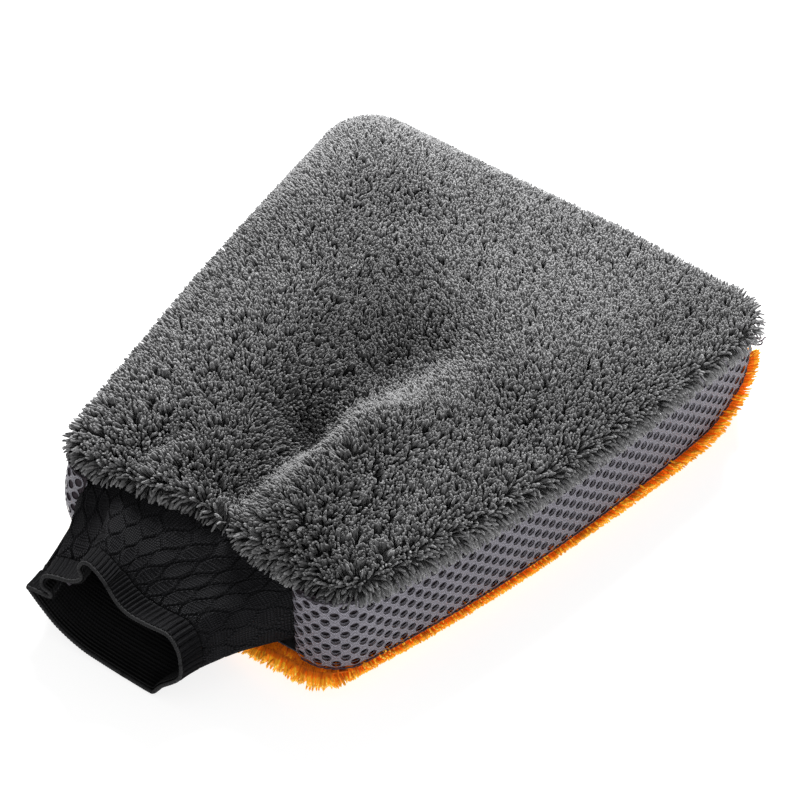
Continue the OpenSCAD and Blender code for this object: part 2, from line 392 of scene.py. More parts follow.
def stitches(across, along):
    """Columns of small slanted stitches, across and along counted over the whole cloth."""
    def pattern(tree, x, y, z):
        column = wave(tree, x, 1 / across)
        slant = maths(tree, "MULTIPLY", column, 0.5 / along)
        row = wave(tree, maths(tree, "ADD", y, slant), 1 / along)
        return maths(tree, "MULTIPLY", maths(tree, "POWER", column, 0.6), maths(tree, "ADD", row, 0.35))
    return pattern


def crossing(step, flatten=1.0):
    """Two sets of slanting filaments that cross."""
    def pattern(tree, x, y, z):
        tall = maths(tree, "MULTIPLY", y, flatten)
        one = wave(tree, maths(tree, "ADD", x, tall), step)
        two = wave(tree, maths(tree, "SUBTRACT", x, tall), step)
        return maths(tree, "MAXIMUM", maths(tree, "POWER", one, 3.0), maths(tree, "POWER", two, 3.0))
    return pattern


def looped(step):
    """Filaments that loop round each hole: z is 0 at the hole and 1 half way to the next."""
    def pattern(tree, x, y, z):
        off_loop = maths(tree, "ABSOLUTE", maths(tree, "SUBTRACT", z, LOOP_AT))
        loop = maths(tree, "SUBTRACT", 1.0, maths(tree, "MULTIPLY", off_loop, LOOP_NARROW))
        loop = maths(tree, "ADD", maths(tree, "MAXIMUM", loop, 0.0), 0.3)
        crossed = maths(tree, "POWER", crossing(step, 1.4)(tree, x, y, z), 2.0)
        crossed = maths(tree, "ADD", maths(tree, "MULTIPLY", crossed, 0.8), 0.25)
        return maths(tree, "MULTIPLY", loop, crossed)
    return pattern


print("a loop lies", LOOP_AT, "of the way from the hole's edge to the middle of the bar")

# %% [markdown]
# ## The cloths' materials
#
# The mesh is shiny nylon and the cuff is dull black yarn, so they differ in shine as much as
# in colour. Each line below gives a cloth its pattern, the colour between its threads and on
# them, and how rough, deep and shiny it is.

# %% The cloths
net_material = patterned_cloth("spacer_mesh_filaments", "laid_flat", looped(1.1 * MM),
                               (0.028, 0.025, 0.034), (0.46, 0.44, 0.51), 0.45, 0.4 * MM, 0.5)
# The backing's near-black colour is the back cloth and also painted shade deep in the net's holes.
backing_material = patterned_cloth("spacer_mesh_backing", "object", crossing(0.8 * MM),
                                   (0.018, 0.015, 0.018), (0.06, 0.05, 0.058), 0.8, 0.1 * MM, 0.0)
knit_material = patterned_cloth(
    "black_knit_outside", "uv", stitches(280, 46),
    (0.0003, 0.0003, 0.0004), (0.019, 0.019, 0.0215), 0.9, 0.9 * MM, 0.1)
inner_knit_material = patterned_cloth(
    "black_knit_inside", "uv", stitches(220, 90),
    (0.001, 0.001, 0.0011), (0.009, 0.009, 0.0095), 0.9, 0.15 * MM, 0.1)
rolled_material = patterned_cloth("rolled_knit", "uv", stitches(300, 3),
                                  (0.006, 0.006, 0.0065), (0.022, 0.022, 0.023), 0.8, 0.15 * MM, 0.2)
elastic_material = patterned_cloth("elastic", "object", crossing(0.5 * MM),
                                   (0.01, 0.01, 0.01), (0.04, 0.04, 0.042), 0.6, 0.05 * MM)
thread_material = patterned_cloth("sewing_thread", "object", crossing(0.7 * MM),
                                  (0.012, 0.01, 0.014), (0.05, 0.042, 0.055), 0.5, 0.1 * MM)
tail_material = patterned_cloth("overlock_thread", "object", crossing(0.7 * MM),
                                (0.016, 0.006, 0.012), (0.07, 0.035, 0.055), 0.5, 0.1 * MM)
lining_material = patterned_cloth("lining_weave", "object", crossing(0.7 * MM),
                                  (0.03, 0.03, 0.032), (0.085, 0.085, 0.09), 0.8, 0.08 * MM)
print("the net's pattern takes", len(net_material.node_tree.nodes), "nodes")

# %% [markdown]
# ## One lock of pile
#
# A lock is a bundle of fibres about a millimetre thick. It is modelled once: a four-sided
# circle is extruded up through a few rings that swell and close to a rounded tip. The shape
# has few faces because it is repeated tens of thousands of times. Hair curves would give
# finer fibres, but a mesh looks the same in every program that the mitt is taken to.

# %% The lock
LOCK_RINGS = ((0.0, 0.6), (0.58, 1.0), (0.91, 0.7))
ROOT_ZONE_END, TIP_ZONE_START = 0.4, 0.85


def lock_shape():
    """Corner places (x, y and share of the length), faces, and the zone of each face."""
    bm = bmesh.new()
    bmesh.ops.create_circle(bm, cap_ends=True, segments=4, radius=LOCK_RINGS[0][1])
    rim = bm.edges[:]
    for (below, old), (above, new) in zip(LOCK_RINGS, LOCK_RINGS[1:] + ((1.0, 0.0),)):
        grown = bmesh.ops.extrude_edge_only(bm, edges=rim)["geom"]
        rim = [g for g in grown if isinstance(g, bmesh.types.BMEdge)]
        ring = [g for g in grown if isinstance(g, bmesh.types.BMVert)]
        bmesh.ops.scale(bm, vec=(new / old, new / old, 1), verts=ring)
        bmesh.ops.translate(bm, vec=(0, 0, above - below), verts=ring)
    bmesh.ops.remove_doubles(bm, verts=bm.verts, dist=1e-5)
    bmesh.ops.recalc_face_normals(bm, faces=bm.faces)
    bm.verts.index_update()
    places = coordinates(bm.verts)
    faces = [[v.index for v in f.verts] for f in bm.faces]
    middles = np.array([f.calc_center_median().z for f in bm.faces])
    zones = np.digitize(middles, (ROOT_ZONE_END, TIP_ZONE_START))
    bm.free()
    return places, faces, zones


LOCK_PLACES, LOCK_FACES, LOCK_ZONES = lock_shape()
print("a lock has", sum(len(f) - 2 for f in LOCK_FACES), "triangles")

# %% [markdown]
# ## Planting the locks
#
# The knitting machine spaces its locks evenly but never in a perfect grid. So roots are
# thrown at random over the ground cloth and one that lands too close to another is dropped.
# To find its neighbours quickly, each root is first put in a cell of a coarse grid.

# %% Roots
ROOTS_THROWN, ROOM_SHARE = 4, 0.8


def scattered_roots(ground, gap_at, seed):
    """Evenly spread points on a cloth mesh, in mm: places and normals."""
    rng = np.random.default_rng(seed)
    ground.calc_loop_triangles()
    corners = np.empty(len(ground.vertices) * 3)
    ground.vertices.foreach_get("co", corners)
    corners = corners.reshape(-1, 3) / MM
    normals = np.empty(len(ground.vertices) * 3)
    ground.vertex_normals.foreach_get("vector", normals)
    normals = normals.reshape(-1, 3)
    tris = np.empty(len(ground.loop_triangles) * 3, int)
    ground.loop_triangles.foreach_get("vertices", tris)
    tris = tris.reshape(-1, 3)
    a, b, c = corners[tris[:, 0]], corners[tris[:, 1]], corners[tris[:, 2]]
    areas = np.linalg.norm(np.cross(b - a, c - a), axis=1) / 2
    gaps = gap_at((a + b + c) / 3)
    weight = areas / gaps ** 2
    count = int(weight.sum() * ROOTS_THROWN)
    chosen = rng.choice(len(tris), count, p=weight / weight.sum())
    r1, r2 = np.sqrt(rng.random(count)), rng.random(count)
    share = np.stack([1 - r1, r1 * (1 - r2), r1 * r2], 1)
    places = np.einsum("ij,ijk->ik", share, corners[tris[chosen]])
    facing = np.einsum("ij,ijk->ik", share, normals[tris[chosen]])
    facing /= np.linalg.norm(facing, axis=1)[:, None]
    gap = gaps[chosen] * ROOM_SHARE
    cell = gap.max()
    cells = np.floor(places / cell).astype(int).tolist()
    taken, kept = {}, []
    around = [(i, j, k) for i in (-1, 0, 1) for j in (-1, 0, 1) for k in (-1, 0, 1)]
    spots = places.tolist()
    for n, (cx, cy, cz) in enumerate(cells):
        x, y, z = spots[n]
        near = gap[n] ** 2
        if any((x - p[0]) ** 2 + (y - p[1]) ** 2 + (z - p[2]) ** 2 < near
               for i, j, k in around for p in taken.get((cx + i, cy + j, cz + k), ())):
            continue
        taken.setdefault((cx, cy, cz), []).append(spots[n])
        kept.append(n)
    return places[kept], facing[kept]


print("roots keep", ROOM_SHARE, "of the mean gap between them")

# %% [markdown]
# ## Growing the locks
#
# Each lock grows along the cloth's normal, leans a little, and bends towards its lay. Real
# pile is never combed evenly: neighbours stick together and lean as one. So locks are
# gathered in clumps, and each is drawn towards the middle of its clump.


# %% Growing
CLUMP_SHARE = 0.09


def unit(vectors):
    return vectors / np.maximum(np.linalg.norm(vectors, axis=1), 1e-9)[:, None]


def clump_centres(roots, rng):
    """For each root, the root in the middle of its clump, and the clump's number."""
    centres = rng.choice(len(roots), max(1, int(len(roots) * CLUMP_SHARE)), replace=False)
    tree = KDTree(len(centres))
    for number, place in enumerate(roots[centres]):
        tree.insert(place, number)
    tree.balance()
    clump = np.array([tree.find(place)[1] for place in roots])
    return roots[centres][clump], clump


def grow_locks(roots, facing, length, radius, lay, pull, lean, rng):
    """All locks' corners in mm. Locks of one clump lean as one, and their tips draw together.
    lay bends a lock that way, pull draws it to its clump, and lean is how unruly clumps, roots
    and tips are."""
    count = len(roots)
    centre, clump = clump_centres(roots, rng)
    pull = np.broadcast_to(pull, count)[:, None]
    tidy = np.clip(pull / 0.2, 0.3, 1)
    shared = rng.normal(0, lean[0], (clump.max() + 1, 3))[clump] * tidy
    start = unit(facing + shared + rng.normal(0, lean[1], (count, 3)) * tidy + 0.5 * lay)
    swing = lay + 2 * pull * (centre - roots) / length[:, None]
    swing = swing + rng.normal(0, lean[2], (count, 3)) * tidy
    side = unit(np.cross(start, rng.normal(0, 1, (count, 3))))
    other = np.cross(start, side)
    t = LOCK_PLACES[:, 2][None, :, None]
    line = start[:, None] * t + swing[:, None] * t ** 2 * 0.5
    reach = np.linalg.norm(line[:, -1:], axis=2, keepdims=True)
    line = line / np.maximum(reach, 1e-6) * length[:, None, None]
    flat = rng.uniform(0.8, 1.2, (count, 1, 1))
    across = side[:, None] * LOCK_PLACES[:, 0][None, :, None] * flat
    across = across + other[:, None] * LOCK_PLACES[:, 1][None, :, None] / flat
    return roots[:, None] + line + across * radius[:, None, None]


def lock_mesh(corners, tones):
    """All locks in one mesh: a face takes the material of its zone and its lock's tone."""
    mesh = copies_mesh(corners, LOCK_FACES)
    slots = LOCK_ZONES[None] * len(TONES) + tones[:, None]
    mesh.polygons.foreach_set("material_index", slots.ravel())
    return mesh


print("a clump holds about", round(1 / CLUMP_SHARE), "locks")

# %% [markdown]
# ## Upper panel
#
# The ground cloth is a grid bent to the bag's outline. It stands straight up at the seam,
# rolls over the rim and lies nearly flat on top, with a deep fold beside a ridge that runs
# from the cuff towards the fingers. Rows of the grid crowd towards the rim, where it rolls.

# %% Ground of the upper panel
GROUND_RISE = 8.4
# Folds are height, start, end and width. Bumps are height, middle x and y, width and length.
RIDGE_AND_FURROW = (
    (8, (26, -74), (29, -25), 19), (3, (30, -20), (54, 34), 20), (-12, (5, -95), (2, -32), 14),
    (-9, (0, -24), (12, 28), 18), (-5, (-43, 80), (-14, 14), 16))
BUMPS = ((-5, 96, 103, 18, 20), (6, -46, 0, 24, 52), (3, 60, 60, 34, 34), (-3, 55, -62, 13, 13),
         (-3, 84, 4, 16, 24), (9, -74, 96, 36, 50))
WRIST_CREASES = ((-6, (-44, -98), (-36, -66), 7), (-3, (-22, -96), (-20, -76), 6))
# The shades below are painted shade and light in the grey pile's tones; they leave its shape alone.
VALLEY_SHADE = ((-1.5, (-25, 59), (-10, 8), 20), (-1.5, (-10, 8), (-6, -63), 20))
RIDGE_SHADE = (-0.9, (26, -60), (36, -8), 11)
FRONT_SHADE, CORNER_SHADE, LEFT_SHADE = (
    (-1.4, 46, -86, 26, 22), (-2.2, 82, 98, 20, 26), (0.4, -60, -20, 30, 60))


def upper_wrist_in(u):
    """How far the panel's wrist edge is drawn in: most in the middle, and at two creases."""
    x = centre_line(-1.0) + u * half_width(-1.0)
    middle = 6.8 * np.exp(-((x + 8) / 24) ** 2)
    return 5.4 + middle + 2.5 * np.exp(-((x + 42) / 4) ** 2) + 2.5 * np.exp(-((x - 9) / 4) ** 2)


def fold(x, y, height, start, end, width):
    """A soft ridge, or a furrow where height is negative, along a line from start to end."""
    (ax, ay), (bx, by) = start, end
    span_x, span_y = bx - ax, by - ay
    share = np.clip(((x - ax) * span_x + (y - ay) * span_y) / (span_x ** 2 + span_y ** 2), 0, 1)
    away = np.hypot(x - ax - share * span_x, y - ay - share * span_y)
    return height * np.exp(-(away / width) ** 2)


def upper_folds(x, y):
    """How far the panel rises or sinks. It sinks towards its finger end and at the wrist."""
    folds = sum(fold(x, y, *line) for line in RIDGE_AND_FURROW + WRIST_CREASES)
    bumps = sum(bell(x, y, *bump) for bump in BUMPS)
    finger_end = -np.clip(2 + (x + 60) / 22, 0, None) * ramp(y, 45, 133) ** 2
    return folds + bumps + finger_end - 8 * ramp(y, -62, -96) ** 2


def pile_shade(x, y):
    """Painted shade and light in the grey pile's tones: darker in the hollows, on the ridge's crest and
    where the pile is laid from the light, lighter on the left and towards the finger end.
    """
    valley = np.maximum(sum(fold(x, y, *line) for line in VALLEY_SHADE), -1.7)
    places = sum(bell(x, y, *bump) for bump in (FRONT_SHADE, CORNER_SHADE, LEFT_SHADE))
    return valley + fold(x, y, *RIDGE_SHADE) + places + 1.4 * ramp(y, 40, 90)


def upper_ground(u, v, drop=0.0, out=0.0):
    """The panel's cloth. It stands out further at the finger end and along the left side."""
    u, v, crowded = crowded_rings(u, v)
    far = np.clip(v, 0, 1) ** 2 * ramp(u, 0.75, 0.25)
    finger = np.clip(u, 0, 1) ** 4 * np.clip(v, 0, 1) ** 2
    left = np.clip(-u, 0, 1) ** 4 * ramp(v, -0.6, 0)
    x, y = on_bag(u, v, out + 3.6 * far + 1.6 * left + 1.8 * finger, -upper_wrist_in(u))
    dome = np.sqrt(np.clip(1 - crowded ** 10, 0, None))
    folds = upper_folds(x, y) * (1 - crowded ** 8)
    return x, y, UPPER_SEAM_Z - drop + (GROUND_RISE + 3.0 * far) * dome + folds


ground = sheet_grid(120, 130)
flat_places = coordinates(ground.verts)
move_to(ground.verts, *upper_ground(flat_places[:, 0], flat_places[:, 1]))
upper_ground_mesh = mesh_in_metres(ground)
ground_cloth = principled("grey_ground", (0.02, 0.02, 0.021), 0.9)
upper_cloth = finish_piece(upper_ground_mesh, "upper_plush_ground", [ground_cloth],
                           ["upper_plush_panel"])
give_thickness(upper_cloth, 0.8)

# %% [markdown]
# ## Grey pile
#
# The upper pile is some forty thousand locks. They stand shorter and closer towards the
# fingers, and longer and more clumped at the wrist, where hands have pressed them. At the rim
# they lean down over the seam. In the hollows more of them take a dark tone, as painted
# shade, and towards the finger end more take a light one, as painted light. They are split
# into bands across the panel, so that no single mesh grows too heavy.

# %% Grey pile
GREY_LENGTH = 6.4
UNRULY_GREY = (0.13, 0.09, 0.24)
BANDS = (-200, -52, -10, 26, 58, 88, 116, 200)
rng = np.random.default_rng(7)


def grey_gap(places):
    return np.interp(places[:, 1], (-95, -40, 60, 135), (1.04, 0.95, 0.87, 0.84))


roots, facing = scattered_roots(upper_ground_mesh, grey_gap, 11)
x, y = roots[:, 0], roots[:, 1]
to_wrist, to_tip = ramp(y, -55, -95), ramp(y, 10, 100)
at_rim = np.clip(1 - facing[:, 2], 0, 1)
far = ramp(y, 20, 80) * ramp(x, 0, -60)
corner = ramp(x, 60, 85) * ramp(y, 70, 100) * at_rim
length = GREY_LENGTH + 1.6 * to_wrist - 2.9 * at_rim * to_wrist - 1.2 * to_tip
length = length * rng.uniform(0.93, 1.06, len(roots))
radius = np.interp(y, (-95, -40, 135), (0.62, 0.56, 0.5)) * rng.uniform(0.8, 1.2, len(roots))
length = length + 1.6 * corner
hang = (-1.1 + 0.8 * far + 0.4 * to_wrist) * at_rim - 0.8 * corner
lay = np.stack([0 * at_rim, -0.3 * to_wrist, hang], 1)
pull = np.interp(y, (-90, -40, 40), (0.42, 0.3, 0.16)) * (1 - 0.75 * at_rim)
corners = grow_locks(roots, facing, length, radius, lay, pull, UNRULY_GREY, rng)
# Painted shade and light: each lock's tone leans with pile_shade.
shade = 1.45 + pile_shade(x, y)
tones = np.clip(np.round(rng.normal(shade, 0.8)), 0, 3).astype(int)
for number, (near, far) in enumerate(zip(BANDS, BANDS[1:]), 1):
    band = (roots[:, 1] >= near) & (roots[:, 1] < far)
    finish_piece(lock_mesh(corners[band], tones[band]), f"upper_pile_band_{number}",
                                   grey_pile, ["upper_plush_panel"])
print(len(roots), "grey locks")

# %% [markdown]
# ## Lower panel
#
# The orange panel is the same cloth turned pile down. The mitt's weight presses its pile
# flat, and round the rim it bulges out as a fluffy edge, deepest under the cuff.


# %% Ground of the lower panel
LOWER_SAG = 2.8


def lower_ground(u, v, raised=0.0, out=0.2):
    """The panel's cloth: pressed flat below, and lifted at the finger corner."""
    u, v, crowded = crowded_rings(u, v)
    x, y = on_bag(u, v, out, 3.4 * np.clip(u + 0.5, 0, 1))
    dome = np.sqrt(np.clip(1 - crowded ** 24, 0, None))
    return x, y, LOWER_SEAM_Z + 0.2 + raised - LOWER_SAG * dome + corner_lift(x, y)


ground = sheet_grid(110, 120)
flat_places = coordinates(ground.verts)
move_to(ground.verts, *lower_ground(flat_places[:, 0], flat_places[:, 1]))
bmesh.ops.reverse_faces(ground, faces=ground.faces)
lower_ground_mesh = mesh_in_metres(ground)
orange_ground = principled("orange_ground", (0.8, 0.16, 0.006), 0.9)
lower_cloth = finish_piece(lower_ground_mesh, "lower_plush_ground", [orange_ground],
                           ["lower_plush_panel"])
give_thickness(lower_cloth, 0.8)

# %% [markdown]
# ## Orange pile
#
# Only the rim of the lower pile is seen from above, so its locks stand close there and wide
# apart on the underside. Each one curls out and up from the edge, furthest under the cuff
# and at the lifted finger corner.

# %% Roots of the orange pile
RIM_GAP, UNDER_GAP = 0.76, 1.9
ORANGE_LENGTH = 2.8


def orange_gap(places):
    on_rim = places[:, 2] > 4.4 + corner_lift(places[:, 0], places[:, 1])
    return np.where(on_rim, RIM_GAP, UNDER_GAP)


roots, facing = scattered_roots(lower_ground_mesh, orange_gap, 23)
x, y = roots[:, 0], roots[:, 1]
outward = np.clip(1 + facing[:, 2], 0, 1)
at_wrist = ramp(y, -84, -94) * ramp(x, -40, 0)
at_tip = ramp(y, 20, 100) * ramp(x, 0, 40)
at_left = ramp(x, -48, -56) * ramp(y, -80, -90)
to_front = at_wrist * np.clip(-1.4 * facing[:, 1], 0, 1)
length = ORANGE_LENGTH + 1.0 * outward + 2.4 * at_tip + 3.2 * to_front
length = length * rng.uniform(0.93, 1.07, len(roots)) * (1 - 0.7 * at_left)
radius = (0.48 + 0.55 * (1 - np.clip(outward * 3, 0, 1))) * rng.uniform(0.85, 1.15, len(roots))
middle_out = unit(np.stack([x, y - 20, 0 * outward], 1))
rise = (0.5 + 0.5 * at_tip) * outward - 0.35 * at_wrist
lay = middle_out * 0.25 + np.stack([0 * outward, 0 * outward, rise], 1)
print(len(roots), "locks on the rim and below it")

# %% [markdown]
# ## A second row of orange pile
#
# The wall stands a little inside the rim, and bare cloth may show at its foot. So the topmost
# locks of the rim are copied just inside it, lying flatter, some two hundred copies in all.
# Under the cuff the strip is wider, and there each of them is copied three times.

# %% Second row
height = roots[:, 2] - LOWER_SEAM_Z - corner_lift(x, y)
over = np.flatnonzero((outward > 0.8) & (height > -1.2))
over = np.concatenate([over, over[at_wrist[over] > 0.3], over[at_wrist[over] > 0.3]])
inward = facing[over] * (1, 1, 0) * rng.uniform(0.5, 3 + 4 * at_wrist[over])[:, None]
extra = roots[over] - inward + np.array([0, 0, 0.8])
roots, facing = np.concatenate([roots, extra]), np.concatenate([facing, facing[over] + (0, 0, 0.25)])
length, radius = np.append(length, length[over] * 1.1), np.append(radius, radius[over])
lay = np.concatenate([lay, lay[over] - (0, 0, 0.7)])
print(len(over), "locks inside the rim")

# %% [markdown]
# ## The open corner
#
# Beside the cuff the orange panel reaches out furthest and its pile lies open. Long locks are
# thrown over the outer part of the panel there and combed outwards. Last, no lock may reach
# below the surface that the mitt lies on, so all the pile is pressed flat against it.

# %% The open corner
CORNER_LOCKS = 2600
UNRULY_ORANGE = (0.26, 0.06, 0.2)
ring = rng.uniform(0.66, 0.95, CORNER_LOCKS)
patch = np.stack(lower_ground(rng.uniform(-0.2, 1, CORNER_LOCKS) * ring, -ring, 0.9), 1)
patch = patch[((patch[:, 0] < 46) | (ring > 0.8)) & (patch[:, 1] < -91)]
patch_out = unit((patch - (0, 20, 0)) * (1, 1, 0))
roots, facing = np.concatenate([roots, patch]), np.concatenate([facing, patch_out + (0, 0, 0.2)])
length = np.append(length, rng.uniform(6.0, 7.4, len(patch)))
radius = np.append(radius, rng.uniform(0.5, 0.66, len(patch)))
lay = np.concatenate([lay, patch_out * 1.2 + (0.3, 0, -0.55)])
pull = np.append(0.07 + 0.1 * at_wrist, 0.07 + 0.1 * at_wrist[over])
pull = np.append(pull, np.full(len(patch), 0.4))
corners = grow_locks(roots, facing, length, radius, lay, pull, UNRULY_ORANGE, rng)
floor_z = 0.15 + corner_lift(corners[..., 0], corners[..., 1])
corners[..., 2] = np.maximum(corners[..., 2], floor_z)
tones = rng.integers(0, len(TONES), len(roots))
for side, name in ((roots[:, 0] < 0, "left"), (roots[:, 0] >= 0, "right")):
    finish_piece(lock_mesh(corners[side], tones[side]), f"lower_pile_{name}",
                                   orange_pile, ["lower_plush_panel"])
print(len(roots), "orange locks")

# %% [markdown]
# ## The line of the side wall
#
# The wall follows the seam line from one side of the cuff, round the bag, to the other side.
# A place on it is given as a distance along the wall and a height, and a depth stands out
# square to it, so the net can be laid out flat and then bent round.

# %% The wall's line
WALL_START_X = 42.5
WALL_STOP_X = -55.0
turns = np.linspace(0, 8, 6000)
seam_u = np.interp(turns, (0, 1, 3, 5, 7, 8), (0, 1, 1, -1, -1, 0))
seam_v = np.interp(turns, (0, 1, 3, 5, 7, 8), (-1, -1, 1, 1, -1, -1))
seam_u, seam_v, _ = round_corners(seam_u, seam_v)
seam_x, seam_y = on_bag(seam_u, seam_v)
first = np.argmax(seam_x > WALL_START_X)
last = np.flatnonzero((seam_x < WALL_STOP_X) | (turns < 4))[-1]
line_u, line_v = seam_u[first:last], seam_v[first:last]
steps = np.hypot(np.diff(seam_x[first:last]), np.diff(seam_y[first:last]))
line_s = np.concatenate([[0], np.cumsum(steps)])
WALL_LENGTH = line_s[-1]
WALL_TOP, WALL_FOOT = UPPER_SEAM_Z - 0.3, LOWER_SEAM_Z + 0.3
END_SWELL = 2.2


def on_wall(s, height, depth):
    """A place on the wall: a distance along it, a height, and how far it stands out."""
    u, v = np.interp(s, line_s, line_u), np.interp(s, line_s, line_v)
    x, y = on_bag(u, v)
    foot = WALL_FOOT + corner_lift(x, y)
    z = np.clip(height, foot, WALL_TOP)
    middle = np.sin((z - foot) / (WALL_TOP - foot) * math.pi)
    swell = END_SWELL * np.exp(-((WALL_LENGTH - s) / 20) ** 2) * middle
    tuck = 2.4 * np.clip(1 - s / 3, 0, 1) ** 2 + 1.2 * np.clip(1 - (z - foot) / 3, 0, 1) ** 2
    x, y = on_bag(u, v, (WALL_BULGE - 0.8) * middle + swell + depth - tuck)
    return x, y, z


print("side wall is", round(WALL_LENGTH), "mm long")

# %% [markdown]
# ## Side wall of spacer mesh
#
# Spacer mesh has an open face: bars of crossing filaments round six-sided holes, in rows
# that are staggered by half a step. One tile is modelled round one hole, from a hexagon and
# a rounded hole that are bridged, and the tiles are laid side by side and merged. A dark
# cloth stands behind the net, and it is what shows through the holes: its near-black colour
# is partly painted shade, for the shade deep in the holes.

# %% The net's tile
HOLE_STEP, ROW_STEP = 7.2, 3.12
HOLE_WIDE, HOLE_TALL = 3.7, 3.4
BAR_THICK = 1.2


def net_tile():
    """Corner places and faces of one tile: half a bar all round one hole."""
    half = HOLE_STEP / 2
    point_x = (half ** 2 + ROW_STEP ** 2) / HOLE_STEP
    corner_x = (half ** 2 - ROW_STEP ** 2) / HOLE_STEP
    bm = bmesh.new()
    quarter = Matrix.Rotation(math.pi / 2, 4, "Z")
    for vert in bmesh.ops.create_circle(bm, segments=6, radius=1, matrix=quarter)["verts"]:
        at_point = abs(vert.co.y) < 0.1
        vert.co.x = math.copysign(point_x if at_point else corner_x, vert.co.x)
        vert.co.y = 0 if at_point else math.copysign(ROW_STEP, vert.co.y)
    slopes = [e for e in bm.edges if e.calc_length() > 2 * corner_x + 0.5]
    bmesh.ops.subdivide_edges(bm, edges=slopes, cuts=2)
    outer = bm.edges[:]
    hole = bmesh.ops.create_circle(bm, segments=len(outer), radius=0.5, matrix=quarter)["verts"]
    bmesh.ops.scale(bm, vec=(HOLE_WIDE, HOLE_TALL, 1), verts=hole)
    inner = list({e for v in hole for e in v.link_edges})
    across = bmesh.ops.bridge_loops(bm, edges=outer + inner)["edges"]
    cut = bmesh.ops.subdivide_edges(bm, edges=across, cuts=1)["geom_inner"]
    middle = [g for g in cut if isinstance(g, bmesh.types.BMVert)]
    for vert in bm.verts:
        vert.co.z = BAR_THICK * (0 if vert in hole else 0.38 if vert in middle else 0.5)
    for vert in middle:
        vert.co.xy *= 0.93
    other = bmesh.ops.duplicate(bm, geom=bm.verts[:] + bm.edges[:] + bm.faces[:])["geom"]
    other = [g for g in other if isinstance(g, bmesh.types.BMVert)]
    bmesh.ops.scale(bm, vec=(1, 1, -1), verts=other)
    bmesh.ops.remove_doubles(bm, verts=bm.verts, dist=1e-4)
    bmesh.ops.recalc_face_normals(bm, faces=bm.faces)
    bm.verts.index_update()
    places, faces = coordinates(bm.verts), [[v.index for v in f.verts] for f in bm.faces]
    bm.free()
    return places, faces, np.abs(places[:, 2]) / BAR_THICK * 2


TILE_PLACES, TILE_FACES, FROM_HOLE = net_tile()
print("a net tile has", len(TILE_FACES), "faces")

# %% [markdown]
# ## Laying the net
#
# The tiles are first laid out flat, every second row half a step along, and then bent round
# the wall. A filament pattern has to follow the net and not the room, so each corner keeps
# its flat place in an attribute that the material reads. The third number there is not a
# height: it says how far a corner is from its hole, and draws the loops round the holes.

# %% The net
ROWS = 13
along = np.arange(HOLE_STEP / 2, WALL_LENGTH, HOLE_STEP)
tiles = np.array([(s + HOLE_STEP / 2 * (row % 2), WALL_TOP - row * ROW_STEP)
                  for row in range(ROWS) for s in along])
seats_x, seats_y = on_bag(np.interp(tiles[:, 0], line_s, line_u), np.interp(tiles[:, 0], line_s, line_v))
tiles = tiles[tiles[:, 1] > WALL_FOOT + corner_lift(seats_x, seats_y) - 1.5]
flat_net = TILE_PLACES[None] + np.insert(tiles, 2, 0, axis=1)[:, None]
net_places = np.stack(on_wall(np.clip(flat_net[..., 0], 0, WALL_LENGTH), flat_net[..., 1],
                              flat_net[..., 2]), -1)
net_mesh = copies_mesh(net_places, TILE_FACES)
flat_attribute = net_mesh.attributes.new("laid_flat", "FLOAT_VECTOR", "POINT")
flat_net = flat_net * MM
flat_net[..., 2] = FROM_HOLE
flat_attribute.data.foreach_set("vector", flat_net.ravel())
net_bm = bmesh.new()
net_bm.from_mesh(net_mesh)
bmesh.ops.remove_doubles(net_bm, verts=net_bm.verts, dist=0.02 * MM)
bmesh.ops.recalc_face_normals(net_bm, faces=net_bm.faces)
net_bm.to_mesh(net_mesh)
net_bm.free()
net = finish_piece(net_mesh, "side_mesh_net", [net_material], ["side_gusset"])

# %% [markdown]
# ## The cloth behind the net
#
# Spacer mesh has a dark back, and here its near-black colour is also painted shade that
# gives the holes their depth. It is one bent grid with a real thickness. Near the wall's left
# end it comes right up to the net, so that no light shows through the holes where the wall
# turns away beside the cuff.

# %% The cloth behind the net
NET_DEPTH = 1.3
back_cloth = sheet_grid(420, 12)
flat_places = (coordinates(back_cloth.verts)[:, :2] + 1) / 2
height = WALL_FOOT + flat_places[:, 1] * (WALL_TOP - WALL_FOOT)
near_end = ramp(flat_places[:, 0] * WALL_LENGTH, WALL_LENGTH - 90, WALL_LENGTH - 50)
move_to(back_cloth.verts, *on_wall(flat_places[:, 0] * WALL_LENGTH, height,
                                   -NET_DEPTH + (NET_DEPTH + 0.2) * near_end))
bmesh.ops.recalc_face_normals(back_cloth, faces=back_cloth.faces)
back_wall = finish_piece(mesh_in_metres(back_cloth), "side_mesh_back",
                         [backing_material], ["side_gusset"])
give_thickness(back_wall, 0.5)

# %% [markdown]
# ## The cuff's shape
#
# The cuff is a knitted tube. It is widest where it joins the bag and closes in towards its
# mouth, which lies open on the surface with a fold in its upper edge. The mouth's edge is
# drawn as a loop, and each of its points is tied to a turn round the plain oval root, so a
# fold at the mouth fades out towards the bag as a crease does.

# %% The cuff's loops
CUFF_LENGTH = 46.0
CUFF_ROOT_Y = WRIST_SEAM_Y + 3.3
ROOT_MIDDLE, ROOT_HALF = (-10.0, 24.4), (52.6, 17.3)
ROOT_SQUARE = 5.0
RIB_LENGTH, MOUTH_LEAN, FLARE = 10.5, 0.18, 1.6
